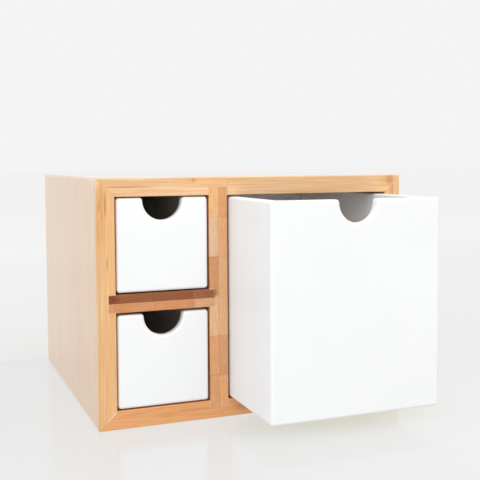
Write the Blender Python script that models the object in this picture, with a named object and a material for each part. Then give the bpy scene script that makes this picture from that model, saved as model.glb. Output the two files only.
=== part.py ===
# Desk organizer: a mitred bamboo cabinet with two small drawers and one large one.
# Metres, +Z up. The front faces -Y, and the origin is the centre of the cabinet's
# footprint. The small drawers are shut and the large one is pulled part of the way out.

import math

import bmesh
import bpy
from mathutils import Vector

MM = 0.001
GAP = 0.3 * MM  # between glued or touching pieces
OVERSHOOT = 1.0 * MM  # how far a cutter runs past the face that it enters

# Cabinet
CABINET_WIDTH = 245.0 * MM
CABINET_DEPTH = 245.0 * MM
CABINET_HEIGHT = 180.0 * MM
PANEL = 13.6 * MM  # two bamboo layers
CORNER_RADIUS = 2.0 * MM  # the long outer corners of the mitred case
OUTER_EASE = 1.3 * MM
INNER_EASE = 0.6 * MM
DIVIDER_HOUSING = 6.0 * MM  # how deep the divider is let into the panels

# Divider and shelf
DIVIDER = 14.3 * MM
DIVIDER_OFFSET = 83.3 * MM  # from the cabinet's left face to the divider
SHELF_LAYER = 6.6 * MM
SHELF_MIDDLE = 90.5 * MM  # height of the line between the shelf's two layers
SHELF_IN_PANEL = 5.4 * MM
SHELF_IN_DIVIDER = 4.0 * MM

# Back panel
BACK = 5.0 * MM
BACK_INSET = 5.0 * MM  # from the panels' rear edges
BACK_GROOVE = 4.0 * MM

# Mitre splines
SPLINE_THICKNESS = 2.6 * MM
SPLINE_WIDTH = 9.0 * MM
SPLINE_PLACE = 7.8 * MM  # from the outer faces to the spline's middle
SPLINE_STOP = 12.0 * MM  # plain mitre left at the front and rear

# Drawers
BOARD = 8.0 * MM
DRAWER_LENGTH = 233.0 * MM
DRAWER_RECESS = 0.5 * MM  # a shut drawer's front, behind the cabinet's front edges
DRAWER_LIFT = 0.8 * MM  # under a drawer
BOARD_EASE = 0.8 * MM  # inner edges
BOARD_CORNER = 2.2 * MM  # the long outer corners of a drawer
FRONT_EASE = 2.0 * MM  # the front board's rim, and both rims of its notch
RIM_STOP = 1.5 * MM  # from a side board to where the front's rear rim starts to be eased
RIM_RUN = 2.5 * MM  # over which it reaches its full ease
SMALL_WIDTH = 67.7 * MM
SMALL_HEIGHT = 67.7 * MM
LARGE_WIDTH = 131.1 * MM
LARGE_HEIGHT = 150.5 * MM
LARGE_PULLED_OUT = 80.0 * MM

# Finger notch: an arc whose centre is a little below the top edge, with a flared mouth
NOTCH_RADIUS = 14.4 * MM
NOTCH_DROP = 2.0 * MM
NOTCH_FLARE = 2.4 * MM

# Drawer bottom, rear housing and dowels
BOTTOM = 4.0 * MM
BOTTOM_HEIGHT = 4.0 * MM  # from the drawer's lower edge to its bottom board
BOTTOM_GROOVE = 3.0 * MM
REAR_SET_IN = 5.0 * MM  # from the side boards' rear ends to the rear board
REAR_HOUSING = 3.0 * MM
DOWEL_RADIUS = 2.0 * MM
DOWEL_IN_FRONT = 4.5 * MM
DOWEL_IN_SIDE = 6.5 * MM
DOWEL_CLEARANCE = 0.1 * MM
DOWEL_LOW = 0.26  # shares of the drawer's height
DOWEL_HIGH = 0.74

CORNER_STEPS = 4
FLARE_STEPS = 5
NOTCH_STEPS = 28
EASE_STEPS = 3
DOWEL_SIDES = 20
SHARPEST_SMOOTH = 40.0  # degrees between two faces that are still shaded as one

FRONT_Y = -CABINET_DEPTH / 2
REAR_Y = CABINET_DEPTH / 2
LEFT_X = -CABINET_WIDTH / 2
RIGHT_X = CABINET_WIDTH / 2
DIVIDER_LEFT = LEFT_X + DIVIDER_OFFSET
DIVIDER_RIGHT = DIVIDER_LEFT + DIVIDER
BACK_FRONT_Y = REAR_Y - BACK_INSET - BACK


# Materials: name to colour, roughness and metallic value

FINISHES = {
    "bamboo_light": ((0.80, 0.52, 0.28), 0.45, 0.0),
    "bamboo_side": ((0.82, 0.60, 0.40), 0.48, 0.0),
    "bamboo_end_grain": ((0.66, 0.39, 0.20), 0.50, 0.0),
    "bamboo_dark": ((0.27, 0.12, 0.065), 0.50, 0.0),
    "bamboo_spline": ((0.70, 0.50, 0.30), 0.60, 0.0),
    "back_ply": ((0.76, 0.55, 0.33), 0.55, 0.0),
    "white_paint": ((0.92, 0.92, 0.91), 0.35, 0.0),
    "white_board": ((0.86, 0.86, 0.85), 0.45, 0.0),
    "dowel_beech": ((0.72, 0.54, 0.36), 0.65, 0.0),
}


def clear_scene():
    for obj in list(bpy.data.objects):
        bpy.data.objects.remove(obj, do_unlink=True)


def make_material(name):
    colour, roughness, metallic = FINISHES[name]
    material = bpy.data.materials.new(name)
    material.use_nodes = True
    shader = material.node_tree.nodes["Principled BSDF"]
    shader.inputs["Base Color"].default_value = (*colour, 1.0)
    shader.inputs["Roughness"].default_value = roughness
    shader.inputs["Metallic"].default_value = metallic
    material.diffuse_color = (*colour, 1.0)
    return material


def material_named(name):
    return bpy.data.materials.get(name) or make_material(name)


# Shapes


def arc(centre, radius, start, end, steps):
    """Points of an arc from one angle to another, in degrees, both ends included."""
    points = []
    for step in range(steps + 1):
        angle = math.radians(start + (end - start) * step / steps)
        points.append(
            (
                centre[0] + radius * math.cos(angle),
                centre[1] + radius * math.sin(angle),
            )
        )
    return points


def extruded(outline, depth):
    """A closed prism: an outline in X and Z, run from y = 0 to y = depth."""
    shape = bmesh.new()
    front = shape.faces.new([shape.verts.new((x, 0.0, z)) for x, z in outline])
    swept = bmesh.ops.extrude_face_region(shape, geom=[front])
    moved = [item for item in swept["geom"] if isinstance(item, bmesh.types.BMVert)]
    bmesh.ops.translate(shape, verts=moved, vec=(0.0, depth, 0.0))
    shape.faces.ensure_lookup_table()
    bmesh.ops.recalc_face_normals(shape, faces=shape.faces)
    return shape


def block(low, high):
    """A closed box between two corners."""
    shape = bmesh.new()
    bmesh.ops.create_cube(shape, size=1.0)
    low, high = Vector(low), Vector(high)
    bmesh.ops.scale(shape, verts=shape.verts, vec=high - low)
    bmesh.ops.translate(shape, verts=shape.verts, vec=(low + high) / 2)
    return shape


def ease(shape, chosen, width):
    """Rounds the edges for which chosen(normals of the two faces, middle) is true."""
    edges = []
    for edge in shape.edges:
        normals = [face.normal.copy() for face in edge.link_faces]
        middle = (edge.verts[0].co + edge.verts[1].co) / 2
        if chosen(normals, middle):
            edges.append(edge)
    bmesh.ops.bevel(
        shape,
        geom=edges,
        offset=width,
        offset_type="OFFSET",
        segments=EASE_STEPS,
        profile=0.5,
        affect="EDGES",
        clamp_overlap=True,
    )


def between(*sides):
    """Chooses a box's edges that lie between two of these outward directions."""
    directions = [Vector(side) for side in sides]

    def chosen(normals, _middle):
        return all(any(normal.dot(d) > 0.99 for d in directions) for normal in normals)

    return chosen


def place(shape, name, finish, parent=None, location=(0, 0, 0), turn_y=0.0):
    """Makes the object of a finished shape, with its material."""
    mesh = bpy.data.meshes.new(name)
    shape.normal_update()
    shape.to_mesh(mesh)
    shape.free()
    mesh.materials.append(material_named(finish))
    obj = bpy.data.objects.new(name, mesh)
    bpy.context.scene.collection.objects.link(obj)
    obj.location = location
    obj.rotation_euler = (0.0, math.radians(turn_y), 0.0)
    obj.parent = parent
    return obj


def make_cutter(shape, name, parent=None, location=(0, 0, 0), turn_y=0.0):
    cutter = place(shape, name, "back_ply", parent, location, turn_y)
    cutter.hide_render = True
    cutter.display_type = "WIRE"
    return cutter


def cut(obj, cutter):
    modifier = obj.modifiers.new(cutter.name, "BOOLEAN")
    modifier.operation = "DIFFERENCE"
    modifier.solver = "EXACT"
    modifier.object = cutter


def grown(low, high, by):
    """The two corners of a box, moved out by a margin on every side."""
    margin = Vector((by, by, by))
    return Vector(low) - margin, Vector(high) + margin


# Cabinet


def mitred_outline(length):
    """A panel's section: its inner face at z = 0, mitred at both ends.

    Each mitre face stands half a gap back, and the outer corner is rounded.
    """
    set_back = GAP / math.sqrt(2)
    half = length / 2
    centre = (half - CORNER_RADIUS, PANEL - CORNER_RADIUS)
    cosine = -set_back / (math.sqrt(2) * CORNER_RADIUS)
    meeting = math.degrees(math.acos(cosine)) - 45.0
    right = arc(centre, CORNER_RADIUS, meeting, 90.0, CORNER_STEPS)
    right.insert(0, (half - PANEL - set_back, 0.0))
    left = [(-x, z) for x, z in reversed(right)]
    return right + left


def make_panel(name, length, finish, location, turn_y):
    shape = extruded(mitred_outline(length), CABINET_DEPTH)

    def outer(normals, middle):
        faces_end = any(abs(n.y) > 0.99 for n in normals)
        return faces_end and middle.z > PANEL / 2 and any(n.z > 0.1 for n in normals)

    def inner(normals, _middle):
        faces_end = any(abs(n.y) > 0.99 for n in normals)
        return faces_end and any(n.z < -0.99 for n in normals)

    ease(shape, outer, OUTER_EASE)
    shape.normal_update()
    ease(shape, inner, INNER_EASE)
    return place(shape, name, finish, None, location, turn_y)


def make_case():
    """The four mitred panels, by name."""
    middle = CABINET_HEIGHT / 2
    layout = {
        "top_panel": (CABINET_WIDTH, "bamboo_light", 0.0, CABINET_HEIGHT - PANEL, 0),
        "bottom_panel": (CABINET_WIDTH, "bamboo_light", 0.0, PANEL, 180),
        "left_side_panel": (CABINET_HEIGHT, "bamboo_side", LEFT_X + PANEL, middle, -90),
        "right_side_panel": (CABINET_HEIGHT, "bamboo_side", RIGHT_X - PANEL, middle, 90),
    }
    panels = {}
    for name, (length, finish, x, z, turn_y) in layout.items():
        panels[name] = make_panel(name, length, finish, (x, FRONT_Y, z), turn_y)
    return panels


def add_splines(panels):
    """A hidden spline across each mitre, let into both panels."""
    half_thick = SPLINE_THICKNESS / 2
    half_wide = SPLINE_WIDTH / 2
    length = CABINET_DEPTH - 2 * SPLINE_STOP
    corners = {
        "lower_left": (-1, 0, "bottom_panel", "left_side_panel"),
        "lower_right": (1, 0, "bottom_panel", "right_side_panel"),
        "upper_left": (-1, 1, "top_panel", "left_side_panel"),
        "upper_right": (1, 1, "top_panel", "right_side_panel"),
    }
    for corner, (side, level, first, second) in corners.items():
        x = side * (CABINET_WIDTH / 2 - SPLINE_PLACE)
        z = CABINET_HEIGHT - SPLINE_PLACE if level else SPLINE_PLACE
        turn_y = 45 if (side > 0) == bool(level) else -45
        where = (x, FRONT_Y + SPLINE_STOP, z)
        low = (-half_wide, 0.0, -half_thick)
        high = (half_wide, length, half_thick)
        name = f"{corner}_mitre_spline"
        spline = block(low, high)
        place(spline, name, "bamboo_spline", None, where, turn_y)
        slot = block(*grown(low, high, GAP))
        cutter = make_cutter(slot, f"{name}_slot", None, where, turn_y)
        cut(panels[first], cutter)
        cut(panels[second], cutter)


def add_divider(panels):
    """The upright board, housed at the top and bottom."""
    bottom = PANEL - DIVIDER_HOUSING + GAP
    top = CABINET_HEIGHT - bottom
    low = (DIVIDER_LEFT, FRONT_Y, bottom)
    high = (DIVIDER_RIGHT, BACK_FRONT_Y - GAP, top)
    shape = block(low, high)
    ease(shape, between((0, -1, 0), (1, 0, 0), (-1, 0, 0)), INNER_EASE)
    divider = place(shape, "divider", "bamboo_end_grain")
    slot_low, slot_high = grown(low, high, GAP)
    slot_low.y -= OVERSHOOT
    cutter = make_cutter(block(slot_low, slot_high), "divider_housing")
    cut(panels["top_panel"], cutter)
    cut(panels["bottom_panel"], cutter)
    return divider


def add_shelf(panels, divider):
    """The shelf's two layers, housed in the left panel and in the divider."""
    left = LEFT_X + PANEL - SHELF_IN_PANEL + GAP
    right = DIVIDER_LEFT + SHELF_IN_DIVIDER - GAP
    rear = BACK_FRONT_Y - GAP
    lowest = SHELF_MIDDLE - SHELF_LAYER
    highest = SHELF_MIDDLE + SHELF_LAYER
    layers = {
        "shelf_lower_layer": (lowest, SHELF_MIDDLE - GAP / 2, "bamboo_light", -1),
        "shelf_upper_layer": (SHELF_MIDDLE + GAP / 2, highest, "bamboo_dark", 1),
    }
    for name, (low_z, high_z, finish, outward) in layers.items():
        shape = block((left, FRONT_Y, low_z), (right, rear, high_z))
        ease(shape, between((0, -1, 0), (0, 0, outward)), INNER_EASE)
        place(shape, name, finish)
    slot_low, slot_high = grown((left, FRONT_Y, lowest), (right, rear, highest), GAP)
    slot_low.y -= OVERSHOOT
    cutter = make_cutter(block(slot_low, slot_high), "shelf_housing")
    cut(panels["left_side_panel"], cutter)
    cut(divider, cutter)


def add_back(panels):
    """The thin back panel, in a groove round all four panels."""
    reach_x = CABINET_WIDTH / 2 - PANEL + BACK_GROOVE - GAP
    low_z = PANEL - BACK_GROOVE + GAP
    high_z = CABINET_HEIGHT - low_z
    low = (-reach_x, BACK_FRONT_Y, low_z)
    high = (reach_x, BACK_FRONT_Y + BACK, high_z)
    place(block(low, high), "back_panel", "back_ply")
    cutter = make_cutter(block(*grown(low, high, GAP)), "back_groove")
    for panel in panels.values():
        cut(panel, cutter)


# Drawers


def notched_outline(width, height, outer_inset=0.0, notch_inset=0.0):
    """A drawer front: rounded corners and a finger notch in the top edge.

    The insets move the outer edges and the notch's rim into the board.
    """
    half = width / 2
    r = BOARD_CORNER
    corner = r - outer_inset
    radius = NOTCH_RADIUS + notch_inset
    flare = NOTCH_FLARE - notch_inset
    notch_z = height - NOTCH_DROP
    # The flare's centre is a flare radius below the edge, and both arcs touch.
    flare_z = height - NOTCH_FLARE
    reach = NOTCH_RADIUS + NOTCH_FLARE
    flare_x = math.sqrt(reach**2 - (flare_z - notch_z) ** 2)
    touch = math.degrees(math.atan2(flare_z - notch_z, flare_x))
    rim_start = half - BOARD - RIM_STOP
    rim_full = rim_start - RIM_RUN

    points = arc((-half + r, r), corner, 180, 270, CORNER_STEPS)
    points += arc((half - r, r), corner, 270, 360, CORNER_STEPS)
    points += arc((half - r, height - r), corner, 0, 90, CORNER_STEPS)
    points += [(rim_start, height - outer_inset), (rim_full, height - notch_inset)]
    points += arc((flare_x, flare_z), flare, 90, 180 + touch, FLARE_STEPS)
    points += arc((0, notch_z), radius, touch, -180 - touch, NOTCH_STEPS)[1:-1]
    points += arc((-flare_x, flare_z), flare, -touch, 90, FLARE_STEPS)
    points += [(-rim_full, height - notch_inset), (-rim_start, height - outer_inset)]
    points += arc((-half + r, height - r), corner, 90, 180, CORNER_STEPS)
    return points


def eased_board(width, height):
    """The front board: outlines from its front to its rear face, joined by faces."""
    quarter = [math.radians(90 * step / EASE_STEPS) for step in range(EASE_STEPS + 1)]
    profile = [
        (FRONT_EASE * (1 - math.cos(turn)), FRONT_EASE * (1 - math.sin(turn)))
        for turn in quarter
    ]
    levels = [(y, inset, inset) for y, inset in profile]
    levels += [(BOARD - y, 0.0, inset) for y, inset in reversed(profile)]

    shape = bmesh.new()
    rings = []
    for y, outer_inset, notch_inset in levels:
        outline = notched_outline(width, height, outer_inset, notch_inset)
        rings.append([shape.verts.new((x, y, z)) for x, z in outline])
    shape.faces.new(rings[0])
    shape.faces.new(rings[-1])
    count = len(rings[0])
    for near, far in zip(rings, rings[1:]):
        for index in range(count):
            after = (index + 1) % count
            shape.faces.new((near[index], near[after], far[after], far[index]))
    bmesh.ops.recalc_face_normals(shape, faces=shape.faces)
    return shape


def make_drawer(name, width, height, where):
    """A drawer of five boards on an empty at the middle of its front's lower edge."""
    slide = bpy.data.objects.new(f"{name}_slide", None)
    slide.location = where
    bpy.context.scene.collection.objects.link(slide)

    front = add_front(slide, name, width, height)
    sides = add_sides(slide, name, width, height)
    rear = add_rear(slide, name, width, height, sides)
    add_bottom(slide, name, width, [front, rear, *sides])
    add_dowels(slide, name, width, height, front, sides)


def add_front(slide, name, width, height):
    return place(eased_board(width, height), f"{name}_front", "white_paint", slide)


def add_sides(slide, name, width, height):
    boards = []
    for side, word in ((-1, "left"), (1, "right")):
        outer = side * width / 2
        inner = side * (width / 2 - BOARD)
        low = (min(outer, inner), BOARD + GAP, 0.0)
        high = (max(outer, inner), DRAWER_LENGTH, height)
        shape = block(low, high)
        ease(shape, between((side, 0, 0), (0, 0, 1), (0, 0, -1)), BOARD_CORNER)
        shape.normal_update()
        ease(shape, between((-side, 0, 0), (0, 0, 1)), BOARD_EASE)
        boards.append(place(shape, f"{name}_{word}_side", "white_paint", slide))
    return boards


def add_rear(slide, name, width, height, sides):
    """The rear board, housed in both side boards."""
    reach = width / 2 - BOARD + REAR_HOUSING - GAP
    rear_y = DRAWER_LENGTH - REAR_SET_IN
    low = (-reach, rear_y - BOARD, 0.0)
    high = (reach, rear_y, height)
    shape = block(low, high)
    ease(shape, between((0, 0, 1), (0, 1, 0), (0, -1, 0)), BOARD_EASE)
    board = place(shape, f"{name}_rear", "white_paint", slide)
    slot_low, slot_high = grown(low, high, GAP)
    slot_low.z -= OVERSHOOT
    slot_high.z += OVERSHOOT
    cutter = make_cutter(block(slot_low, slot_high), f"{name}_rear_housing", slide)
    for side in sides:
        cut(side, cutter)
    return board


def add_bottom(slide, name, width, boards):
    """The bottom board, in a groove round the other four."""
    reach = width / 2 - BOARD + BOTTOM_GROOVE - GAP
    rear_y = DRAWER_LENGTH - REAR_SET_IN - BOARD
    low = (-reach, BOARD - BOTTOM_GROOVE + GAP, BOTTOM_HEIGHT)
    high = (reach, rear_y + BOTTOM_GROOVE - GAP, BOTTOM_HEIGHT + BOTTOM)
    place(block(low, high), f"{name}_bottom", "white_board", slide)
    cutter = make_cutter(block(*grown(low, high, GAP)), f"{name}_bottom_groove", slide)
    for board in boards:
        cut(board, cutter)


def rod(radius, start_y, end_y):
    """A round rod along Y."""
    outline = arc((0, 0), radius, 0, 360, DOWEL_SIDES)[:-1]
    shape = extruded(outline, end_y - start_y)
    bmesh.ops.translate(shape, verts=shape.verts, vec=(0.0, start_y, 0.0))
    return shape


def add_dowels(slide, name, width, height, front, sides):
    """Blind dowels that hold the front to the ends of the side boards."""
    start_y = BOARD - DOWEL_IN_FRONT
    end_y = BOARD + GAP + DOWEL_IN_SIDE
    for board, side, word in zip(sides, (-1, 1), ("left", "right")):
        for share, level in ((DOWEL_LOW, "lower"), (DOWEL_HIGH, "upper")):
            where = (side * (width - BOARD) / 2, 0.0, share * height)
            dowel = f"{name}_{word}_{level}_dowel"
            place(rod(DOWEL_RADIUS, start_y, end_y), dowel, "dowel_beech", slide, where)
            hole = rod(DOWEL_RADIUS + DOWEL_CLEARANCE, start_y - GAP, end_y + GAP)
            cutter = make_cutter(hole, f"{dowel}_hole", slide, where)
            cut(front, cutter)
            cut(board, cutter)


def add_drawers():
    small_x = (LEFT_X + PANEL + DIVIDER_LEFT) / 2
    large_x = (DIVIDER_RIGHT + RIGHT_X - PANEL) / 2
    shut_y = FRONT_Y + DRAWER_RECESS
    floor_z = PANEL + DRAWER_LIFT
    shelf_z = SHELF_MIDDLE + SHELF_LAYER + DRAWER_LIFT
    layout = {
        "upper_drawer": (SMALL_WIDTH, SMALL_HEIGHT, (small_x, shut_y, shelf_z)),
        "lower_drawer": (SMALL_WIDTH, SMALL_HEIGHT, (small_x, shut_y, floor_z)),
        "large_drawer": (
            LARGE_WIDTH,
            LARGE_HEIGHT,
            (large_x, shut_y - LARGE_PULLED_OUT, floor_z),
        ),
    }
    for name, (width, height, where) in layout.items():
        make_drawer(name, width, height, where)


def settle_cuts():
    """Applies every cut, removes the cutters and shades each piece evenly."""
    graph = bpy.context.evaluated_depsgraph_get()
    pieces = [obj for obj in bpy.data.objects if obj.type == "MESH"]
    cutters = [obj for obj in pieces if obj.hide_render]
    for obj in pieces:
        if obj in cutters:
            continue
        mesh = bpy.data.meshes.new_from_object(obj.evaluated_get(graph))
        mesh.name = obj.name
        mesh.shade_smooth()
        mesh.set_sharp_from_angle(angle=math.radians(SHARPEST_SMOOTH))
        obj.modifiers.clear()
        obj.data = mesh
        shading = obj.modifiers.new("even_shading", "WEIGHTED_NORMAL")
        shading.keep_sharp = True
    for cutter in cutters:
        bpy.data.objects.remove(cutter, do_unlink=True)


clear_scene()
case = make_case()
add_splines(case)
upright = add_divider(case)
add_shelf(case, upright)
add_back(case)
add_drawers()
settle_cuts()
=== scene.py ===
import math

import bmesh
import bpy
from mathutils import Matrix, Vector


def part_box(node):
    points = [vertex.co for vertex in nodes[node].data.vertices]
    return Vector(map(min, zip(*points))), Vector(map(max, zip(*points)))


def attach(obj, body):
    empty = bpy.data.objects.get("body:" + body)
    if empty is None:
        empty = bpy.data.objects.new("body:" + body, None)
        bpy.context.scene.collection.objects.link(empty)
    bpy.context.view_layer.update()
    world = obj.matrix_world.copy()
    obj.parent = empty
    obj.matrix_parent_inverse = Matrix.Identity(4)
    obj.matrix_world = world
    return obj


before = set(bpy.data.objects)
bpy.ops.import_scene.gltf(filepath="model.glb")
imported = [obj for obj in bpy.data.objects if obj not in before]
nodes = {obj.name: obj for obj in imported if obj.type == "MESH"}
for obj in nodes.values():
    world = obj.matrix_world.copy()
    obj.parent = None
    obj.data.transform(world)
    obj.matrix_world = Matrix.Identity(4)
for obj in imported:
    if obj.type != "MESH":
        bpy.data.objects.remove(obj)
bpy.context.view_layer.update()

mm = 0.001
print("frame loaded with", len(nodes), "pieces")


# small helpers for node trees: a value is a number, a colour or another node's output
def plug(tree, value, socket):
    if isinstance(value, bpy.types.NodeSocket):
        tree.links.new(value, socket)
    else:
        socket.default_value = value


def addNode(tree, kind, *values, **settings):
    node = tree.nodes.new(kind)
    for name, value in settings.items():
        setattr(node, name, value)
    for value, socket in zip(values, node.inputs):
        plug(tree, value, socket)
    return node


def maths(tree, operation, *values, clamp=False):
    node = addNode(tree, "ShaderNodeMath", *values, operation=operation, use_clamp=clamp)
    return node.outputs[0]


def joinAxes(tree, x, y, z):
    return addNode(tree, "ShaderNodeCombineXYZ", x, y, z).outputs[0]


def remap(tree, value, low, high, toLow=0.0, toHigh=1.0, shape="LINEAR"):
    node = addNode(tree, "ShaderNodeMapRange", value, low, high, toLow, toHigh)
    node.interpolation_type = shape
    return node.outputs[0]


def noise(tree, vector, scale, detail=2.0, roughness=0.5):
    node = addNode(tree, "ShaderNodeTexNoise")
    plug(tree, vector, node.inputs["Vector"])
    node.inputs["Scale"].default_value = scale
    node.inputs["Detail"].default_value = detail
    node.inputs["Roughness"].default_value = roughness
    return node.outputs[0]


def mixed(tree, factor, first, second, mode="MIX"):
    node = addNode(tree, "ShaderNodeMix", data_type="RGBA", blend_type=mode)
    plug(tree, factor, node.inputs[0])
    plug(tree, first, node.inputs[6])
    plug(tree, second, node.inputs[7])
    return node.outputs[2]


def ramp(tree, value, stops, interpolation="LINEAR"):
    node = addNode(tree, "ShaderNodeValToRGB", value)
    node.color_ramp.interpolation = interpolation
    points = node.color_ramp.elements
    while len(points) < len(stops):
        points.new(0.5)
    for point, (position, colour) in zip(points, stops):
        point.position = position
        point.color = colour
    return node.outputs[0]


def shade(red, green, blue):
    # a colour as a paint chart gives it, 0 to 255, in the linear values that a shader takes
    channels = []
    for channel in (red, green, blue):
        value = channel / 255
        channels.append(value / 12.92 if value <= 0.04045 else ((value + 0.055) / 1.055) ** 2.4)
    return (*channels, 1.0)


def placeInMm(tree):
    # the piece's own coordinates in millimetres, whole and by axis
    coordinates = addNode(tree, "ShaderNodeTexCoord").outputs["Object"]
    scaled = addNode(tree, "ShaderNodeVectorMath", coordinates, (1000.0, 1000.0, 1000.0))
    scaled.operation = "MULTIPLY"
    split = addNode(tree, "ShaderNodeSeparateXYZ", scaled.outputs[0])
    return {"all": scaled.outputs[0], "X": split.outputs[0], "Y": split.outputs[1], "Z": split.outputs[2]}


def blankMaterial(name):
    material = bpy.data.materials.new(name)
    material.use_nodes = True
    return material, material.node_tree, material.node_tree.nodes["Principled BSDF"]


def setShader(shader, values):
    for name, value in values.items():
        shader.inputs[name].default_value = value


def addBump(tree, shader, height, strength, depth):
    bump = addNode(tree, "ShaderNodeBump")
    bump.inputs["Strength"].default_value = strength
    bump.inputs["Distance"].default_value = depth
    plug(tree, height, bump.inputs["Height"])
    tree.links.new(bump.outputs[0], shader.inputs["Normal"])


# Bamboo. One group makes the solid pattern: strips glued edge to edge in layers, each strip
# with its own tone, fibre bundles that show as dots on the ends and lines on the faces,
# and a knuckle every so often along it.
bambooPattern = {
    "bundlesPerMm": 1.15,
    "bundleLength": 70.0,
    # waves per millimetre across and along, then detail and roughness
    "fibre": (1.5, 0.03, 2.0, 0.6),
    "streak": (0.75, 0.013, 3.0, 0.7),
    "cloud": (0.06, 0.012, 2.0, 0.5),
    "knuckleSpacing": 205.0,
    "knuckleWobble": 5.0,
    "knuckleReach": 14.0,
    "glueLine": 0.13,
}


def makeGrainGroup(look):
    group = bpy.data.node_groups.new("bambooGrain", "ShaderNodeTree")
    inputs = {"Along": 0.0, "Across": 0.0, "Through": 0.0, "StripWidth": 20.0, "Layer": 6.8, "Seed": 0.0}
    for name, value in inputs.items():
        socket = group.interface.new_socket(name, in_out="INPUT", socket_type="NodeSocketFloat")
        socket.default_value = value
    outputs = ("Tone", "Bundle", "Fibre", "Streak", "Cloud", "Rows", "Knuckle", "Joint")
    for name in outputs:
        group.interface.new_socket(name, in_out="OUTPUT", socket_type="NodeSocketFloat")
    start = group.nodes.new("NodeGroupInput").outputs
    end = group.nodes.new("NodeGroupOutput").inputs
    along, across, through = start["Along"], start["Across"], start["Through"]

    stripPlace = maths(group, "DIVIDE", across, start["StripWidth"])
    layerPlace = maths(group, "DIVIDE", through, start["Layer"])
    strip = maths(group, "FLOOR", stripPlace)
    layer = maths(group, "FLOOR", layerPlace)
    identity = joinAxes(group, strip, layer, start["Seed"])
    white = addNode(group, "ShaderNodeTexWhiteNoise", identity)
    chance = addNode(group, "ShaderNodeSeparateColor", white.outputs["Color"])
    chanceA, chanceB = chance.outputs[0], chance.outputs[1]
    plug(group, chance.outputs[2], end["Tone"])

    # every strip reads the noises from a place of its own
    ownAcross = maths(group, "MULTIPLY_ADD", chanceA, 131.0, across)
    ownThrough = maths(group, "MULTIPLY_ADD", chanceB, 97.0, through)
    ownAlong = maths(group, "MULTIPLY_ADD", chanceA, 613.0, along)

    pitch = look["bundlesPerMm"]
    cells = addNode(group, "ShaderNodeTexVoronoi")
    cellPlace = joinAxes(
        group,
        maths(group, "MULTIPLY", ownAcross, pitch),
        maths(group, "MULTIPLY", ownThrough, pitch),
        maths(group, "DIVIDE", ownAlong, look["bundleLength"]),
    )
    plug(group, cellPlace, cells.inputs["Vector"])
    cells.inputs["Scale"].default_value = 1.0
    # bundles crowd towards the skin side of each layer
    inLayer = maths(group, "FRACT", layerPlace)
    reach = maths(group, "MULTIPLY_ADD", inLayer, 0.24, 0.24)
    bundle = remap(group, cells.outputs["Distance"], 0.08, reach, 1.0, 0.0, "SMOOTHSTEP")
    plug(group, bundle, end["Bundle"])

    def stretched(fine, length, detail, roughness):
        place = joinAxes(
            group,
            maths(group, "MULTIPLY", ownAcross, fine),
            maths(group, "MULTIPLY", ownThrough, fine),
            maths(group, "MULTIPLY", ownAlong, length),
        )
        return noise(group, place, 1.0, detail, roughness)

    plug(group, remap(group, stretched(*look["fibre"]), 0.28, 0.72), end["Fibre"])
    plug(group, remap(group, stretched(*look["streak"]), 0.33, 0.67), end["Streak"])
    plug(group, remap(group, stretched(*look["cloud"]), 0.3, 0.7), end["Cloud"])
    # on the ends, bundles stand in rows across the strip
    rowPlace = joinAxes(
        group,
        maths(group, "MULTIPLY", ownAcross, 0.11),
        maths(group, "MULTIPLY", ownThrough, 1.15),
        maths(group, "MULTIPLY", ownAlong, 0.02),
    )
    plug(group, remap(group, noise(group, rowPlace, 1.0, 3.0, 0.65), 0.3, 0.7), end["Rows"])

    # knuckle: a thin dark line with a pale side and a shaded side, bent by a small wobble
    spacing = look["knuckleSpacing"]
    unevenness = noise(group, joinAxes(group, ownAcross, ownThrough, 0.0), 0.22)
    wobble = maths(group, "MULTIPLY", unevenness, look["knuckleWobble"])
    shifted = maths(group, "ADD", maths(group, "MULTIPLY_ADD", chanceB, spacing, along), wobble)
    fromKnuckle = maths(group, "WRAP", shifted, spacing / 2, -spacing / 2)
    section = ramp(
        group,
        remap(group, fromKnuckle, -look["knuckleReach"], look["knuckleReach"]),
        [
            (0.0, (0.5, 0.5, 0.5, 1)),
            (0.36, (0.5, 0.5, 0.5, 1)),
            (0.44, (0.38, 0.38, 0.38, 1)),
            (0.49, (0.16, 0.16, 0.16, 1)),
            (0.53, (0.66, 0.66, 0.66, 1)),
            (0.66, (0.56, 0.56, 0.56, 1)),
            (1.0, (0.5, 0.5, 0.5, 1)),
        ],
    )
    # the front strip keeps clear of them: its own knots are placed one by one
    notFront = maths(group, "GREATER_THAN", strip, 0.5)
    plug(group, mixed(group, notFront, (0.5, 0.5, 0.5, 1), section), end["Knuckle"])

    # glue line between strips and between layers
    gap = None
    for place, size in ((stripPlace, start["StripWidth"]), (layerPlace, start["Layer"])):
        away = maths(group, "PINGPONG", place, 0.5)
        distance = maths(group, "MULTIPLY", away, size)
        gap = distance if gap is None else maths(group, "MINIMUM", gap, distance)
    line = look["glueLine"]
    plug(group, remap(group, gap, line * 0.5, line * 1.6, 1.0, 0.0, "SMOOTHSTEP"), end["Joint"])
    return group


grainGroup = makeGrainGroup(bambooPattern)
grainTint = {
    "pale": (1.045, 1.10, 1.20, 1),
    "deep": (0.95, 0.865, 0.71, 1),
    "bundle": (0.93, 0.84, 0.74, 1),
    "knuckleDarkAndPaintedShade": (0.74, 0.56, 0.42, 1),
    "knucklePale": (1.04, 1.10, 1.16, 1),
    "glue": (0.80, 0.62, 0.48, 1),
    "spot": (0.66, 0.46, 0.32, 1),
    "orange": (0.97, 0.86, 0.66, 1),
    "paintedArrisShade": (0.86, 0.76, 0.66, 1),
    "paintedPinkHighlight": (0.92, 1.0, 1.22, 1),
    "paintedLight": (1.04, 1.22, 1.55, 1),
}


def bandColour(tree, value, tones):
    # one flat colour from each height or width to the next
    low = tones[0][0]
    reach = tones[-1][0] - low + 1.0
    stops = [((place - low) / reach, shade(*tone)) for place, tone in tones]
    return ramp(tree, remap(tree, value, low, low + reach), stops, "CONSTANT")


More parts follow.
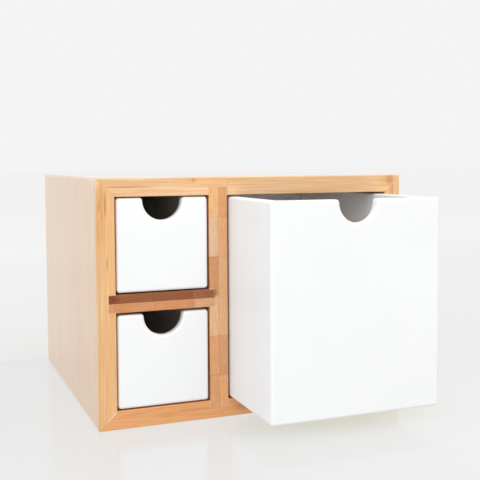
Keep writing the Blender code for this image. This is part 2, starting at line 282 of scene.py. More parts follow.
def spotMask(tree, place, centre, size):
    # 1 at the middle of an oval spot and 0 at its rim
    away = addNode(tree, "ShaderNodeVectorMath", place, centre, operation="SUBTRACT").outputs[0]
    shrunk = addNode(
        tree, "ShaderNodeVectorMath", away, tuple(1 / side for side in size), operation="MULTIPLY"
    ).outputs[0]
    length = addNode(tree, "ShaderNodeVectorMath", shrunk, operation="LENGTH").outputs["Value"]
    return remap(tree, length, 0.25, 1.0, 1.0, 0.0, "SMOOTHSTEP")


def bambooFinish(board):
    material, tree, shader = blankMaterial(board["finish"])
    place = placeInMm(tree)
    grain = addNode(tree, "ShaderNodeGroup")
    grain.node_tree = grainGroup
    across = maths(tree, "SUBTRACT", place[board["across"]], board["acrossFrom"])
    through = maths(tree, "SUBTRACT", place[board["through"]], board["throughFrom"])
    plug(tree, place[board["along"]], grain.inputs["Along"])
    plug(tree, across, grain.inputs["Across"])
    plug(tree, through, grain.inputs["Through"])
    grain.inputs["StripWidth"].default_value = board["stripWidth"]
    grain.inputs["Layer"].default_value = board["layer"]
    grain.inputs["Seed"].default_value = board["seed"]
    pattern = grain.outputs

    colour = bandColour(tree, place[board["bandAxis"]], board["tones"])
    if "secondTones" in board:
        beyond = maths(tree, "GREATER_THAN", place[board["through"]], board["secondFrom"])
        second = bandColour(tree, place[board["bandAxis"]], board["secondTones"])
        colour = mixed(tree, beyond, colour, second)

    # strip tone, long streaks and soft clouds together move the colour from pale to deep
    weights = board["variation"]
    middle = 0.5 - 0.5 * (weights["strip"] + weights["streak"] + weights["cloud"])
    depth = maths(tree, "MULTIPLY_ADD", pattern["Tone"], weights["strip"], middle)
    depth = maths(tree, "MULTIPLY_ADD", pattern["Streak"], weights["streak"], depth)
    depth = maths(tree, "MULTIPLY_ADD", pattern["Cloud"], weights["cloud"], depth)
    tint = mixed(tree, depth, grainTint["pale"], grainTint["deep"])
    colour = mixed(tree, 1.0, colour, tint, "MULTIPLY")
    bundles = maths(tree, "MULTIPLY", pattern["Bundle"], weights["bundle"])
    colour = mixed(tree, bundles, colour, grainTint["bundle"], "MULTIPLY")
    fine = remap(tree, pattern["Fibre"], 0.0, 1.0, 1.0 - weights["fibre"], 1.0 + weights["fibre"])
    softFine = maths(tree, "MULTIPLY_ADD", fine, 0.5, 0.5)
    colour = mixed(tree, 1.0, colour, joinAxes(tree, softFine, fine, fine), "MULTIPLY")
    rows = remap(tree, pattern["Rows"], 0.0, 1.0, 1.0 - weights["rows"], 1.0 + weights["rows"])
    colour = mixed(tree, 1.0, colour, joinAxes(tree, rows, rows, rows), "MULTIPLY")
    darkSide = remap(tree, pattern["Knuckle"], 0.5, 0.1, 0.0, weights["knuckle"])
    colour = mixed(tree, darkSide, colour, grainTint["knuckleDarkAndPaintedShade"], "MULTIPLY")
    paleSide = remap(tree, pattern["Knuckle"], 0.5, 0.66, 0.0, weights["knuckle"])
    colour = mixed(tree, paleSide, colour, grainTint["knucklePale"], "MULTIPLY")
    glue = maths(tree, "MULTIPLY", pattern["Joint"], weights["joint"])
    colour = mixed(tree, glue, colour, grainTint["glue"], "MULTIPLY")

    # marks on this board: knots, dark streaks and paler ends, and on some boards painted highlights,
    # painted shade along the front arris and a painted contact shadow
    for centre, size, strength, tintName in board["marks"]:
        mask = maths(tree, "MULTIPLY", spotMask(tree, place["all"], centre, size), strength)
        alongFibre = remap(tree, pattern["Fibre"], 0.0, 1.0, 0.65, 1.25)
        broken = maths(tree, "MULTIPLY", mask, alongFibre, clamp=True)
        colour = mixed(tree, broken, colour, grainTint[tintName], "MULTIPLY")
    tree.links.new(colour, shader.inputs["Base Color"])

    gloss = board["gloss"]
    rough = remap(tree, pattern["Fibre"], 0.0, 1.0, gloss["smooth"], gloss["rough"])
    rough = maths(tree, "MULTIPLY_ADD", pattern["Bundle"], 0.05, rough)
    tree.links.new(rough, shader.inputs["Roughness"])
    setShader(
        shader,
        {"Coat Weight": gloss["coat"], "Coat Roughness": gloss["coatRough"], "IOR": gloss["ior"]},
    )
    height = maths(tree, "MULTIPLY_ADD", pattern["Bundle"], -0.45, pattern["Fibre"])
    height = maths(tree, "MULTIPLY_ADD", pattern["Joint"], -1.2, height)
    addBump(tree, shader, height, gloss["bump"], 0.05 * mm)
    return material


def coat(names, material):
    for name in names:
        mesh = nodes[name].data
        mesh.materials.clear()
        mesh.materials.append(material)


varnish = {"coat": 1.0, "coatRough": 0.07, "ior": 1.5, "smooth": 0.34, "rough": 0.46, "bump": 0.22}
endVarnish = {"coat": 0.3, "coatRough": 0.3, "ior": 1.42, "smooth": 0.45, "rough": 0.58, "bump": 0.3}
longGrain = {
    "strip": 0.4,
    "streak": 1.2,
    "cloud": 0.35,
    "bundle": 0.5,
    "fibre": 0.17,
    "rows": 0.0,
    "knuckle": 0.3,
    "joint": 0.6,
}
endGrain = {
    **longGrain,
    "strip": 0.1,
    "streak": 0.5,
    "bundle": 0.9,
    "fibre": 0.07,
    "rows": 0.13,
    "joint": 1.0,
}

topBoard = {
    "finish": "bambooTop",
    "pieces": ["top_panel"],
    "along": "X",
    "across": "Y",
    "through": "Z",
    "acrossFrom": -122.5,
    "throughFrom": 166.4,
    "stripWidth": 20.42,
    "layer": 6.8,
    "seed": 3.0,
    "bandAxis": "Z",
    "tones": [(166.4, (244, 205, 157)), (173.2, (244, 206, 156))],  # inner layer, outer layer
    "variation": longGrain,
    "gloss": varnish,
    "marks": [
        ((-52.0, -122.5, 177.2), (7.0, 9.0, 3.0), 0.8, "orange"),
        ((-51.0, -122.5, 177.6), (2.2, 7.0, 1.6), 0.7, "knuckleDarkAndPaintedShade"),
        ((-24.7, -122.5, 176.0), (0.9, 4.0, 0.8), 0.95, "spot"),
        ((-20.0, -122.5, 177.5), (7.0, 9.0, 2.0), 0.6, "orange"),
        ((111.0, -122.5, 176.0), (11.0, 9.0, 7.0), 1.0, "orange"),
        ((113.4, -122.5, 176.2), (5.5, 9.0, 5.4), 0.85, "knuckleDarkAndPaintedShade"),
        ((111.6, -122.5, 168.4), (3.4, 9.0, 2.6), 1.0, "knucklePale"),
        # painted shade along the front arris, to damp the lamp's highlight there
        ((0.0, -122.7, 180.2), (900.0, 2.6, 2.6), 0.8, "paintedArrisShade"),
        ((-99.0, -122.5, 173.2), (27.0, 6.0, 0.9), 0.9, "spot"),
        ((-98.0, -122.5, 176.0), (34.0, 6.0, 3.6), 0.8, "orange"),
        ((-30.0, -122.5, 174.6), (60.0, 6.0, 1.4), 0.6, "orange"),
        ((70.0, -122.5, 170.6), (60.0, 6.0, 1.0), 0.7, "orange"),
        # painted highlight, pale and pink, along the top front arris at the left end
        ((-104.0, -122.5, 180.0), (52.0, 9.0, 3.2), 0.7, "paintedLight"),
        ((-92.0, -122.5, 178.0), (52.0, 9.0, 4.6), 1.0, "paintedPinkHighlight"),
    ],
}

bottomBoard = {
    "finish": "bambooBottom",
    "pieces": ["bottom_panel"],
    "along": "X",
    "across": "Y",
    "through": "Z",
    "acrossFrom": -122.5,
    "throughFrom": 0.0,
    "stripWidth": 20.42,
    "layer": 6.8,
    "seed": 11.0,
    "bandAxis": "Z",
    "tones": [(0.0, (239, 178, 114)), (6.8, (234, 171, 107))],
    "variation": longGrain,
    "gloss": varnish,
    "marks": [
        ((-72.0, -122.5, 7.0), (8.0, 9.0, 3.0), 0.75, "orange"),
        ((-73.0, -122.5, 6.6), (3.2, 6.0, 0.9), 0.7, "knucklePale"),
        ((-96.0, -122.5, 10.0), (14.0, 9.0, 1.2), 0.4, "spot"),
        ((-50.0, -122.5, 8.4), (20.0, 9.0, 1.0), 0.35, "spot"),
        ((-37.5, -122.5, 12.6), (6.0, 9.0, 2.4), 1.0, "knucklePale"),
        # painted shade in the gap below the large drawer
        ((-9.0, -122.5, 8.0), (15.0, 9.0, 7.0), 0.9, "knuckleDarkAndPaintedShade"),
    ],
}

leftBoard = {
    "finish": "bambooLeft",
    "pieces": ["left_side_panel"],
    "along": "Z",
    "across": "Y",
    "through": "X",
    "acrossFrom": -122.5,
    "throughFrom": -122.5,
    "stripWidth": 20.42,
    "layer": 6.8,
    "seed": 5.0,
    "bandAxis": "X",
    "tones": [(-122.6, (235, 191, 133)), (-115.7, (239, 195, 135))],  # outer layer, inner layer
    "variation": longGrain,
    "gloss": varnish,
    "marks": [
        ((-119.5, -122.5, 150.0), (5.0, 9.0, 34.0), 1.0, "orange"),
        ((-118.6, -122.5, 168.0), (3.6, 9.0, 12.0), 0.6, "orange"),
        ((-119.8, -122.5, 160.0), (1.6, 6.0, 7.0), 0.6, "knuckleDarkAndPaintedShade"),
        ((-115.7, -122.5, 161.0), (0.9, 6.0, 13.0), 1.0, "spot"),
        ((-118.3, -122.5, 153.0), (1.0, 6.0, 4.5), 0.65, "knuckleDarkAndPaintedShade"),
        ((-119.4, -122.5, 153.4), (1.0, 6.0, 3.4), 1.0, "knucklePale"),
        ((-114.8, -122.5, 119.5), (0.7, 6.0, 6.5), 0.9, "spot"),
        ((-112.0, -122.5, 81.4), (2.4, 9.0, 3.4), 0.7, "orange"),
        ((-111.6, -122.5, 82.4), (1.6, 6.0, 0.8), 0.7, "knuckleDarkAndPaintedShade"),
        # painted highlight at the top of the front edge
        ((-121.0, -122.5, 178.0), (4.0, 60.0, 7.0), 0.8, "paintedLight"),
        # painted shade along the front arris, to damp the lamp's highlight there
        ((-122.6, -122.6, 84.0), (2.4, 2.4, 300.0), 0.75, "paintedArrisShade"),
        # painted contact shadow along the foot of the board
        ((-122.6, 0.0, 0.0), (3.0, 900.0, 2.4), 0.9, "spot"),
        # painted light: the left face paler towards the top and towards the front
        ((-122.6, 0.0, 190.0), (2.0, 500.0, 85.0), 0.4, "paintedLight"),
        ((-122.6, -110.0, 90.0), (2.0, 55.0, 160.0), 0.35, "paintedLight"),
    ],
}

rightBoard = {
    **leftBoard,
    "finish": "bambooRight",
    "pieces": ["right_side_panel"],
    "throughFrom": 108.9,
    "seed": 8.0,
    "tones": [(108.8, (241, 200, 146)), (115.7, (242, 201, 151))],
    "marks": [
        ((115.6, -122.5, 168.0), (1.6, 9.0, 9.0), 0.7, "spot"),
        ((117.0, -122.5, 96.0), (3.0, 9.0, 6.0), 0.7, "orange"),
        ((113.0, 122.5, 60.0), (3.0, 9.0, 6.0), 0.7, "orange"),
    ],
}

# the upright shows strip ends: two columns of blocks, each block its own tone
upright = {
    "finish": "bambooUpright",
    "pieces": ["divider"],
    "along": "Y",
    "across": "Z",
    "through": "X",
    "acrossFrom": 3.0,
    "throughFrom": -39.2,
    "stripWidth": 29.44,
    "layer": 7.15,
    "seed": 2.0,
    "bandAxis": "Z",
    "tones": [
        (3.0, (215, 154, 110)),
        (32.4, (218, 158, 108)),
        (61.9, (221, 176, 131)),
        (91.6, (204, 145, 97)),
        (120.9, (219, 178, 140)),
        (150.2, (229, 176, 123)),
    ],
    "secondFrom": -32.05,
    "secondTones": [
        (3.0, (225, 163, 109)),
        (32.4, (211, 154, 108)),
        (61.9, (221, 169, 124)),
        (91.6, (218, 168, 120)),
        (120.9, (221, 162, 115)),
        (150.2, (215, 154, 104)),
    ],
    "variation": endGrain,
    "gloss": endVarnish,
    "marks": [
        ((-35.0, -122.5, 94.2), (1.8, 9.0, 5.0), 1.0, "spot"),
        ((-36.5, -122.5, 15.0), (4.5, 9.0, 4.5), 0.9, "knucklePale"),
        ((-27.0, -122.5, 16.5), (3.0, 9.0, 5.0), 0.5, "knucklePale"),
    ],
}

shelfLower = {
    "finish": "bambooShelf",
    "pieces": ["shelf_lower_layer"],
    "along": "Y",
    "across": "X",
    "through": "Z",
    "acrossFrom": -139.4,
    "throughFrom": 83.7,
    "stripWidth": 29.44,
    "layer": 6.8,
    "seed": 6.0,
    "bandAxis": "X",
    "tones": [
        (-115.0, (206, 147, 99)),
        (-110.0, (202, 139, 89)),
        (-80.5, (202, 139, 90)),
        (-51.1, (209, 157, 114)),
    ],
    "variation": endGrain,
    "gloss": endVarnish,
    "marks": [],
}

shelfUpper = {
    "finish": "bambooShelfDark",
    "pieces": ["shelf_upper_layer"],
    "along": "Y",
    "across": "X",
    "through": "Z",
    "acrossFrom": -140.6,
    "throughFrom": 90.6,
    "stripWidth": 29.44,
    "layer": 6.8,
    "seed": 9.0,
    "bandAxis": "X",
    "tones": [
        (-115.0, (141, 90, 58)),
        (-111.1, (143, 84, 50)),
        (-81.7, (141, 83, 50)),
        (-52.3, (149, 93, 61)),
    ],
    "variation": {**endGrain, "rows": 0.2, "streak": 0.9, "fibre": 0.12},
    "gloss": {**endVarnish, "coat": 0.1, "ior": 1.3},
    "marks": [
        ((-111.5, -122.5, 94.0), (6.5, 12.0, 5.5), 1.0, "knuckleDarkAndPaintedShade"),
    ],
}

rearPly = {
    "finish": "bambooPly",
    "pieces": ["back_panel"],
    "along": "Z",
    "across": "X",
    "through": "Y",
    "acrossFrom": -118.6,
    "throughFrom": 112.0,
    "stripWidth": 19.8,
    "layer": 2.5,
    "seed": 14.0,
    "bandAxis": "Y",
    "tones": [(112.0, (232, 191, 143)), (115.0, (230, 187, 138))],
    "variation": {**longGrain, "strip": 0.6},
    "gloss": {**varnish, "coat": 0.3, "smooth": 0.42, "rough": 0.55},
    "marks": [],
}

splines = {
    **rearPly,
    "finish": "bambooSpline",
    "pieces": [name for name in nodes if name.endswith("mitre_spline")],
    "along": "Y",
    "across": "X",
    "through": "Z",
    "seed": 17.0,
    "bandAxis": "Z",
    "tones": [(-1.0, (214, 168, 122)), (90.0, (218, 170, 124))],
}

panels = (topBoard, bottomBoard, leftBoard, rightBoard)
inner = (upright, shelfLower, shelfUpper, rearPly, splines)
for board in panels + inner:
    coat(board["pieces"], bambooFinish(board))
print("bamboo finished")


# Dowels: beech rods, hardly seen
dowels = {
    "pieces": [name for name in nodes if name.endswith("dowel")],
    "pale": shade(222, 190, 150),
    "dark": shade(190, 150, 108),
}


def beechFinish(look):
    material, tree, shader = blankMaterial("beechRod")
    place = placeInMm(tree)
    stretched = joinAxes(tree, place["X"], maths(tree, "MULTIPLY", place["Y"], 0.08), place["Z"])
    grain = noise(tree, stretched, 1.6, 3.0, 0.6)
    tree.links.new(mixed(tree, grain, look["pale"], look["dark"]), shader.inputs["Base Color"])
    tree.links.new(remap(tree, grain, 0.0, 1.0, 0.55, 0.7), shader.inputs["Roughness"])
    addBump(tree, shader, grain, 0.3, 0.1 * mm)
    return material


coat(dowels["pieces"], beechFinish(dowels))
print("dowels finished")


# White drawers: sprayed satin paint with a fine stipple
drawerPaint = {
    "finish": "satinWhite",
    "white": (0.864, 0.863, 0.863, 1),
    "shaded": (0.846, 0.845, 0.845, 1),
    "stipplePerMm": 1.4,
    "stippleDepth": 0.012 * mm,
    "smooth": 0.38,
    "rough": 0.48,
    "bump": 0.35,
    "ior": 1.42,
}
# the insides are a little whiter: a painted lift against the shade inside the drawers
boardPaint = {
    **drawerPaint,
    "finish": "satinWhiteInside",
    "white": (0.95, 0.95, 0.95, 1),
    "shaded": (0.93, 0.93, 0.928, 1),
    "stipplePerMm": 0.9,
    "stippleDepth": 0.03 * mm,
    "smooth": 0.42,
    "rough": 0.55,
}

# where the large drawer leaves the cabinet, against the warm light off the bamboo
coolPatch = {"centre": (-23.5, -118.0, 95.0), "size": (15.0, 62.0, 190.0), "tint": (1.0, 1.025, 1.04, 1)}


def paintFinish(look, inward=None):
    material, tree, shader = blankMaterial(look["finish"] + (inward or ""))
    place = placeInMm(tree)["all"]
    stipple = noise(tree, place, look["stipplePerMm"], 3.0, 0.55)
    wave = noise(tree, place, 0.035, 2.0, 0.5)
    haze = noise(tree, place, 0.012, 3.0, 0.6)
    patch = remap(tree, haze, 0.35, 0.65)
    colour = mixed(tree, patch, look["white"], look["shaded"])
    if inward:
        # a side board: its inner face is as white as the rest of the inside, a painted lift against the
        # shade there
        normal = addNode(tree, "ShaderNodeTexCoord").outputs["Normal"]
        facing = addNode(tree, "ShaderNodeSeparateXYZ", normal)
        turned = maths(tree, "MULTIPLY", facing.outputs[0], 1.0 if inward == "Left" else -1.0)
        isInside = maths(tree, "GREATER_THAN", turned, 0.7)
        colour = mixed(tree, isInside, colour, boardPaint["white"])
        # a painted cool tint near the cabinet, against the warm light off the bamboo
        cool = spotMask(tree, place, coolPatch["centre"], coolPatch["size"])
        colour = mixed(tree, cool, colour, coolPatch["tint"], "MULTIPLY")
    speck = remap(tree, stipple, 0.3, 0.7, 0.985, 1.01)
    colour = mixed(tree, 1.0, colour, joinAxes(tree, speck, speck, speck), "MULTIPLY")
    tree.links.new(colour, shader.inputs["Base Color"])
    rough = remap(tree, wave, 0.3, 0.7, look["smooth"], look["rough"])
    rough = maths(tree, "MULTIPLY_ADD", stipple, 0.05, rough)
    tree.links.new(rough, shader.inputs["Roughness"])
    height = maths(tree, "MULTIPLY_ADD", wave, 2.0, stipple)
    addBump(tree, shader, height, look["bump"], look["stippleDepth"])
    setShader(shader, {"IOR": look["ior"]})
    return material


paint = paintFinish(drawerPaint)
insidePaint = paintFinish(boardPaint)
coat([name for name in nodes if name.endswith("drawer_front")], paint)
for side in ("Left", "Right"):
    boards = [name for name in nodes if name.endswith(f"drawer_{side.lower()}_side")]
    coat(boards, paintFinish(drawerPaint, side))
coat([name for name in nodes if name.endswith(("drawer_rear", "drawer_bottom"))], insidePaint)
print("drawers painted")


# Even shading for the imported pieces: merge the loose corners, then smooth all but the sharp edges
def makeShadingGroup():
    group = bpy.data.node_groups.new("evenShading", "GeometryNodeTree")
    group.interface.new_socket("Geometry", in_out="INPUT", socket_type="NodeSocketGeometry")
    group.interface.new_socket("Geometry", in_out="OUTPUT", socket_type="NodeSocketGeometry")
    start = group.nodes.new("NodeGroupInput").outputs[0]
    end = group.nodes.new("NodeGroupOutput").inputs[0]
    forget = addNode(group, "GeometryNodeRemoveAttribute")
    plug(group, start, forget.inputs["Geometry"])
    forget.inputs["Name"].default_value = "custom_normal"
    merge = addNode(group, "GeometryNodeMergeByDistance")
    plug(group, forget.outputs[0], merge.inputs["Geometry"])
    merge.inputs["Distance"].default_value = 0.002 * mm
    smooth = addNode(group, "GeometryNodeSetShadeSmooth", domain="FACE")
    plug(group, merge.outputs[0], smooth.inputs["Geometry"])
    smooth.inputs["Shade Smooth"].default_value = True
    angle = addNode(group, "GeometryNodeInputMeshEdgeAngle").outputs[0]
    sharp = addNode(group, "ShaderNodeMath", angle, math.radians(40), operation="GREATER_THAN")
    crease = addNode(group, "GeometryNodeSetShadeSmooth", domain="EDGE")
    plug(group, smooth.outputs[0], crease.inputs["Geometry"])
    plug(group, sharp.outputs[0], crease.inputs["Selection"])
    crease.inputs["Shade Smooth"].default_value = False
    plug(group, crease.outputs[0], end)
    return group


shadingGroup = makeShadingGroup()
for node in nodes.values():
    tidy = node.modifiers.new("evenShading", "NODES")
    tidy.node_group = shadingGroup
    weighted = node.modifiers.new("flatFaces", "WEIGHTED_NORMAL")
    weighted.keep_sharp = True
print("shading evened")


# New pieces: glue in the joints and paint over the seams
def finishPiece(shape, name, body, material):
    mesh = bpy.data.meshes.new(name)
    bmesh.ops.recalc_face_normals(shape, faces=shape.faces)
    shape.to_mesh(mesh)
    shape.free()
    mesh.materials.append(material)
    piece = bpy.data.objects.new(name, mesh)
    bpy.context.scene.collection.objects.link(piece)
    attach(piece, body)


def slab(outline, corner, alongFirst, alongSecond, thickness):
    # a thin plate: its outline in two directions from a corner, and a thickness across them
    across = alongFirst.cross(alongSecond).normalized() * thickness / 2
    shape = bmesh.new()
    rims = []
    for side in (-1, 1):
        rim = []
        for first, second in outline:
            rim.append(shape.verts.new(corner + alongFirst * first + alongSecond * second + across * side))
        rims.append(rim)
    shape.faces.new(rims[0])
    shape.faces.new(rims[1])
    count = len(outline)
    for index in range(count):
        after = (index + 1) % count
        shape.faces.new((rims[0][index], rims[0][after], rims[1][after], rims[1][index]))
    return shape


def roundedOutline(width, height, radii, steps=5):
    # a rectangle from (0, 0) with a radius for each corner, starting at the origin
    centres = [(0, 0, 180), (width, 0, 270), (width, height, 0), (0, height, 90)]
    outline = []
    for (x, y, start), radius in zip(centres, radii):
        if radius == 0:
            outline.append((x, y))
            continue
        centreX = radius if x == 0 else width - radius
        centreY = radius if y == 0 else height - radius
        for step in range(steps + 1):
            angle = math.radians(start + 90 * step / steps)
            outline.append((centreX + radius * math.cos(angle), centreY + radius * math.sin(angle)))
    return outline


def glueFinish(name, dark, pale):
    material, tree, shader = blankMaterial(name)
    place = placeInMm(tree)["all"]
    grain = noise(tree, place, 0.9, 3.0, 0.6)
    colour = mixed(tree, grain, dark, pale)
    tree.links.new(colour, shader.inputs["Base Color"])
    tree.links.new(remap(tree, grain, 0.0, 1.0, 0.4, 0.6), shader.inputs["Roughness"])
    addBump(tree, shader, grain, 0.3, 0.05 * mm)
    return material


glue = glueFinish("woodGlue", shade(214, 160, 108), shade(236, 190, 140))
paleGlue = glueFinish("paleWoodGlue", shade(232, 194, 146), shade(246, 216, 178))
case = {"halfWidth": 122.5 * mm, "height": 180.0 * mm, "frontY": -122.5 * mm, "rearY": 122.5 * mm}
mitreGlue = {
    "panel": 13.6 * mm,
    "cornerCut": 1.0 * mm,  # the rounded outer corner
    "setBack": 0.06 * mm,  # behind the front and rear edges
    "outerEase": 1.4 * mm,
    "innerEase": 0.7 * mm,
    "thickness": 0.28 * mm,
    "innerInset": 0.1 * mm,
    "squeezedOut": {
        "thickness": 0.65 * mm,
        "proud": 0.03 * mm,
        "inset": 0.5 * mm,
        "length": 9.0 * mm,
        "depth": 1.5 * mm,
    },
}


def addMitreGlue(look):
    depth = case["rearY"] - case["frontY"] - 2 * look["setBack"]
    reach = look["panel"] * math.sqrt(2)
    inset = look["innerInset"]
    width = reach - look["cornerCut"] - inset
    outline = roundedOutline(
        width, depth, (look["innerEase"], look["outerEase"], look["outerEase"], look["innerEase"])
    )
    for level, height in (("lower", 0.0), ("upper", case["height"])):
        for side, x in (("left", -case["halfWidth"]), ("right", case["halfWidth"])):
            outward = Vector((math.copysign(1, x), 0, 1 if height else -1)).normalized()
            outerCorner = Vector((x, case["frontY"] + look["setBack"], height))
            innerCorner = outerCorner - outward * (reach - inset)
            shape = slab(outline, innerCorner, outward, Vector((0, 1, 0)), look["thickness"])
            name = f"{level}{side.capitalize()}MitreGlue"
            finishPiece(shape, name, "cabinet", glue)

    # a bead squeezed out of the lower left mitre
    bead = look["squeezedOut"]
    outward = Vector((-1, 0, -1)).normalized()
    front = case["frontY"] - bead["proud"]
    start = Vector((-case["halfWidth"], front, 0.0)) - outward * (reach - bead["inset"])
    outline = roundedOutline(bead["length"], bead["depth"], (0, 0, 0, 0))
    shape = slab(outline, start, outward, Vector((0, 1, 0)), bead["thickness"])
    finishPiece(shape, "lowerLeftGlueBead", "cabinet", paleGlue)


def ring(points, name, startY, endY, body="cabinet", material=glue):
    # a closed outline in X and Z, in millimetres, run from one Y to another
    shape = slab(
        [(x * mm, z * mm) for x, z in points],
        Vector((0, (startY + endY) / 2 * mm, 0)),
        Vector((1, 0, 0)),
        Vector((0, 0, 1)),
        (endY - startY) * mm,
    )
    finishPiece(shape, name, body, material)


def channel(low, high, end, mouth, outside, inside):
    # a U that lines a housing: low and high are the two cheeks, end its bottom, mouth its opening
    sign = 1 if end > mouth else -1
    far = end + sign * outside
    near = end - sign * inside
    return [
        (low - outside, mouth),
        (low - outside, far),
        (high + outside, far),
        (high + outside, mouth),
        (high - inside, mouth),
        (high - inside, near),
        (low + inside, near),
        (low + inside, mouth),
    ]


housings = {
    "upright": (-39.2, -24.9),
    "uprightEnds": {"lower": (7.9, 13.6), "upper": (172.1, 166.4)},
    "shelf": (83.9, 97.1),
    "shelfEnds": {"left": (-114.0, -108.9), "right": (-35.5, -39.2)},
    "gap": 0.27,
    "skin": 0.02,  # how far the glue reaches into the housed board
    "deepFrom": -122.42,
    "deepTo": 112.0,
    "lipTo": -121.8,  # near the front it also fills the eased corners
    "lip": 0.62,
    "seam": (90.36, 90.64),  # between the two layers of the shelf
    "seamFrom": -122.4,
}


def addHousingGlue(look):
    for level, (end, mouth) in look["uprightEnds"].items():
        body = channel(*look["upright"], end, mouth, look["gap"], look["skin"])
        ring(body, f"{level}UprightGlue", look["lipTo"], look["deepTo"])
        lip = channel(*look["upright"], end, mouth, look["gap"], look["lip"])
        ring(lip, f"{level}UprightGlueLip", look["deepFrom"], look["lipTo"])
    for side, (end, mouth) in look["shelfEnds"].items():
        body = [(x, z) for z, x in channel(*look["shelf"], end, mouth, look["gap"], look["skin"])]
        ring(body, f"{side}ShelfGlue", look["lipTo"], look["deepTo"])
        lip = [(x, z) for z, x in channel(*look["shelf"], end, mouth, look["gap"], look["lip"])]
        ring(lip, f"{side}ShelfGlueLip", look["deepFrom"], look["lipTo"])
    left, right = look["shelfEnds"]["left"][0], look["shelfEnds"]["right"][0]
    below, above = look["seam"]
    seam = [(left, below), (right, below), (right, above), (left, above)]
    ring(seam, "shelfSeamGlue", look["seamFrom"], look["deepTo"])


addMitreGlue(mitreGlue)
addHousingGlue(housings)
print("joints glued")


# Paint over the seam between each drawer's front and its side boards
seams = {"startY": 8.0, "endY": 8.3, "board": 8.0, "outer": 2.2, "inner": 0.8, "setBack": 0.02}


def addSeamPaint(look):
    for drawer in ("upper_drawer", "lower_drawer", "large_drawer"):
        low, high = (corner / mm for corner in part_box(f"{drawer}_front"))
        setBack = look["setBack"]
        height = high.z - low.z - 2 * setBack
        width = look["board"] - 2 * setBack
        for side in ("left", "right"):
            radii = (look["outer"], 0, look["inner"], look["outer"])
            outline = roundedOutline(width, height, radii)
            if side == "left":
                points = [(low.x + setBack + x, low.z + setBack + z) for x, z in outline]
            else:
                points = [(high.x - setBack - x, low.z + setBack + z) for x, z in outline]
            name = f"{drawer.split('_')[0]}Drawer{side.capitalize()}SeamPaint"
            ring(points, name, low.y + look["startY"], low.y + look["endY"], drawer, paint)


addSeamPaint(seams)
print("seams painted")


# Stage: a glossy pale table that meets a white ground behind the cabinet
table = {
    "size": 40.0,
    "tone": (0.030, 0.030, 0.0297, 1),
    "mottle": (0.025, 0.025, 0.0248, 1),
    "ior": 1.22,
    # each glow is a brightness at a distance in metres, in front of the seam and behind it
    "glow": [(0.0, 0.590), (0.2, 0.660), (0.35, 0.733), (0.55, 0.796), (1.0, 0.750)],
    "glowTint": (1, 1, 0.995, 1),
    "backTone": (0.22, 0.22, 0.22, 1),
    "backGlow": [(0.0, 0.595), (0.25, 0.605), (0.7, 0.63), (1.0, 0.66)],
    "seamFrom": Vector((-0.1669, 0.1296)),
    "seamTo": Vector((0.3777, 0.1132)),
    "softness": 0.004,
    "gloss": 0.16,
    # the soft shade under the large drawer
    "shadeAt": (0.05, -0.150, 0.0),
    "shadeSize": (0.115, 0.060, 0.05),
    "shadeTint": (0.90, 0.90, 0.80, 1),
}


def glowRamp(tree, distance, stops):
    return ramp(tree, distance, [(place, (glow, glow, glow, 1)) for place, glow in stops])


def addTable(look):
    half = look["size"] / 2
    shape = bmesh.new()
    corners = [(-half, -half, 0), (half, -half, 0), (half, half, 0), (-half, half, 0)]
    shape.faces.new([shape.verts.new(corner) for corner in corners])
    mesh = bpy.data.meshes.new("tableTop")
    shape.to_mesh(mesh)
    shape.free()
    material, tree, shader = blankMaterial("paleTable")
    coordinates = addNode(tree, "ShaderNodeTexCoord").outputs["Object"]
    direction = (look["seamTo"] - look["seamFrom"]).normalized()
    normal = Vector((-direction.y, direction.x, 0.0))
    start = Vector((*look["seamFrom"], 0.0))
    away = addNode(tree, "ShaderNodeVectorMath", coordinates, tuple(normal), operation="DOT_PRODUCT")
    behind = maths(tree, "SUBTRACT", away.outputs["Value"], start.dot(normal))
    isBack = remap(tree, behind, -look["softness"] / 2, look["softness"] / 2, shape="SMOOTHSTEP")
    haze = noise(tree, coordinates, 3.0, 2.0, 0.5)
    patches = remap(tree, haze, 0.3, 0.7, 0.0, 0.12)
    mottled = mixed(tree, patches, look["tone"], look["mottle"])
    colour = mixed(tree, isBack, mottled, look["backTone"])
    tree.links.new(colour, shader.inputs["Base Color"])
    tree.links.new(remap(tree, isBack, 0.0, 1.0, look["gloss"], 1.0), shader.inputs["Roughness"])
    setShader(shader, {"IOR": look["ior"]})
    backGlow = glowRamp(tree, behind, look["backGlow"])
    shine = addNode(tree, "ShaderNodeMix", isBack, data_type="FLOAT")
    nearGlow = glowRamp(tree, maths(tree, "MULTIPLY", behind, -1.0), look["glow"])
    plug(tree, nearGlow, shine.inputs[2])
    plug(tree, backGlow, shine.inputs[3])
    tree.links.new(shine.outputs[0], shader.inputs["Emission Strength"])
    underDrawer = spotMask(tree, coordinates, look["shadeAt"], look["shadeSize"])
    glowTint = mixed(tree, underDrawer, look["glowTint"], look["shadeTint"])
    tree.links.new(glowTint, shader.inputs["Emission Color"])
    mesh.materials.append(material)
    top = bpy.data.objects.new("tableTop", mesh)
    bpy.context.scene.collection.objects.link(top)


addTable(table)


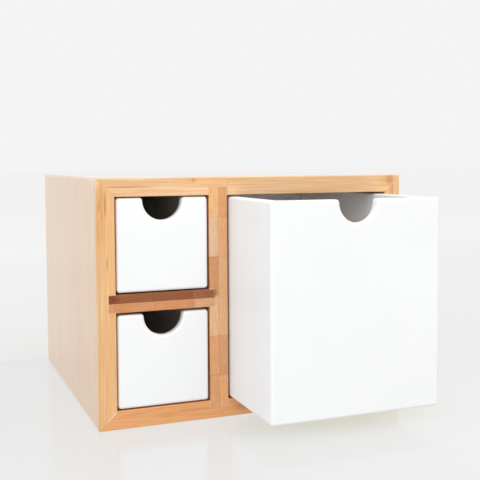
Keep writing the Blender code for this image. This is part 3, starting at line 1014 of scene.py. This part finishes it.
# Light: white all round, with three large soft lamps, in front, to the left and above
studio = {
    "surround": 0.905,
    "lamps": {
        "frontLamp": {
            "place": (-0.9, -1.7, 1.25),
            "size": (2.2, 1.6),
            "power": 5.2,
            "colour": (1, 1, 1),
        },
        "leftLamp": {
            "place": (-1.75, -1.1, 0.85),
            "size": (2.2, 1.5),
            "power": 9.3,
            "colour": (0.76, 0.9, 1),
        },
        "topLamp": {
            "place": (0.15, -0.85, 1.6),
            "size": (1.2, 1.2),
            "power": 10.5,
            "colour": (1, 1, 1),
        },
    },
    "aim": (0.0, -0.05, 0.08),
}


def addLight(look):
    scene = bpy.context.scene
    world = bpy.data.worlds.new("whiteRoom")
    world.use_nodes = True
    background = world.node_tree.nodes["Background"]
    background.inputs["Color"].default_value = (1, 1, 1, 1)
    background.inputs["Strength"].default_value = look["surround"]
    scene.world = world
    for name, settings in look["lamps"].items():
        lamp = bpy.data.lights.new(name, "AREA")
        lamp.shape = "RECTANGLE"
        lamp.size, lamp.size_y = settings["size"]
        lamp.energy = settings["power"]
        lamp.color = settings["colour"]
        holder = bpy.data.objects.new(name, lamp)
        holder.location = settings["place"]
        aim = Vector(look["aim"]) - Vector(settings["place"])
        holder.rotation_euler = aim.to_track_quat("-Z", "Y").to_euler()
        scene.collection.objects.link(holder)


addLight(studio)
print("stage and light ready")


# Camera: a little above the table, turned to show the left side
view = {
    "place": (-0.2380027, -0.7129777, 0.19004),
    "turn": (86.65109, 0.25996, -22.44980),
    "lens": 63.688,
    "sensor": 36.0,
    "clip": (0.01, 50.0),
    "shift": (-0.053498, -0.057705),
}


def addCamera(look):
    lens = bpy.data.cameras.new("viewer")
    lens.lens = look["lens"]
    lens.sensor_width = look["sensor"]
    lens.shift_x, lens.shift_y = look["shift"]
    lens.clip_start, lens.clip_end = look["clip"]
    camera = bpy.data.objects.new("viewer", lens)
    camera.location = look["place"]
    camera.rotation_euler = [math.radians(angle) for angle in look["turn"]]
    bpy.context.scene.collection.objects.link(camera)
    bpy.context.scene.camera = camera


addCamera(view)
bpy.context.scene.view_settings.view_transform = "Standard"
print("camera placed")
